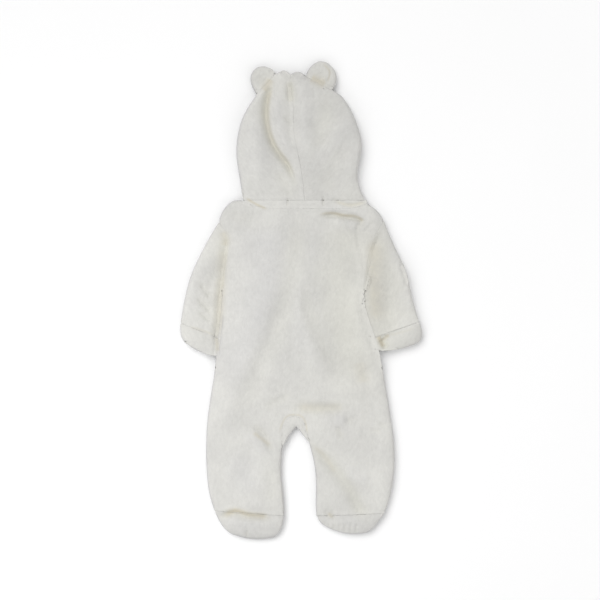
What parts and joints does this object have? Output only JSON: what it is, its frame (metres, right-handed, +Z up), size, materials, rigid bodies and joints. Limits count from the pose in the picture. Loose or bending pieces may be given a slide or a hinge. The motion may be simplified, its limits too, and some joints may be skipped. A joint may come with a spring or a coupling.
{
  "type": "hooded footed baby suit",
  "caption": "Hooded footed plush baby suit with bear ears, laid flat face down, its back showing, with set-in sleeves, turned hems and a lapped centre front.",
  "frame": {"origin": "middle of the laid-out suit, on the surface it lies on", "axes": "+Y towards the hood, +Z up out of the suit's back, +X towards the wearer's right sleeve"},
  "size_m": [0.435, 0.8592, 0.0268],
  "materials": {
    "plush_body": "short cream pile, soft sheen",
    "plush_sleeve": "short cream pile, soft sheen",
    "plush_hood": "short cream pile, combed down and outwards",
    "plush_band": "short cream pile over a sewn casing",
    "plush_foot": "short cream pile",
    "plush_ear": "short cream pile",
    "popper": "moulded, smooth"
  },
  "bodies": {
    "root": {"back": "plush_body", "front_left": "plush_body", "front_right": "plush_body", "sleeve_left": "plush_sleeve", "sleeve_right": "plush_sleeve", "cuff_left": "plush_sleeve", "cuff_right": "plush_sleeve", "hood_left": "plush_hood", "hood_right": "plush_hood", "neck_band": "plush_band", "gusset": "plush_body", "foot_left": "plush_foot", "foot_right": "plush_foot", "ear_left_outer": "plush_ear", "ear_left_inner": "plush_ear", "ear_right_outer": "plush_ear", "ear_right_inner": "plush_ear", "popper_1": "popper", "popper_2": "popper", "popper_3": "popper", "popper_4": "popper", "popper_5": "popper", "popper_6": "popper"}
  },
  "joints": []
}
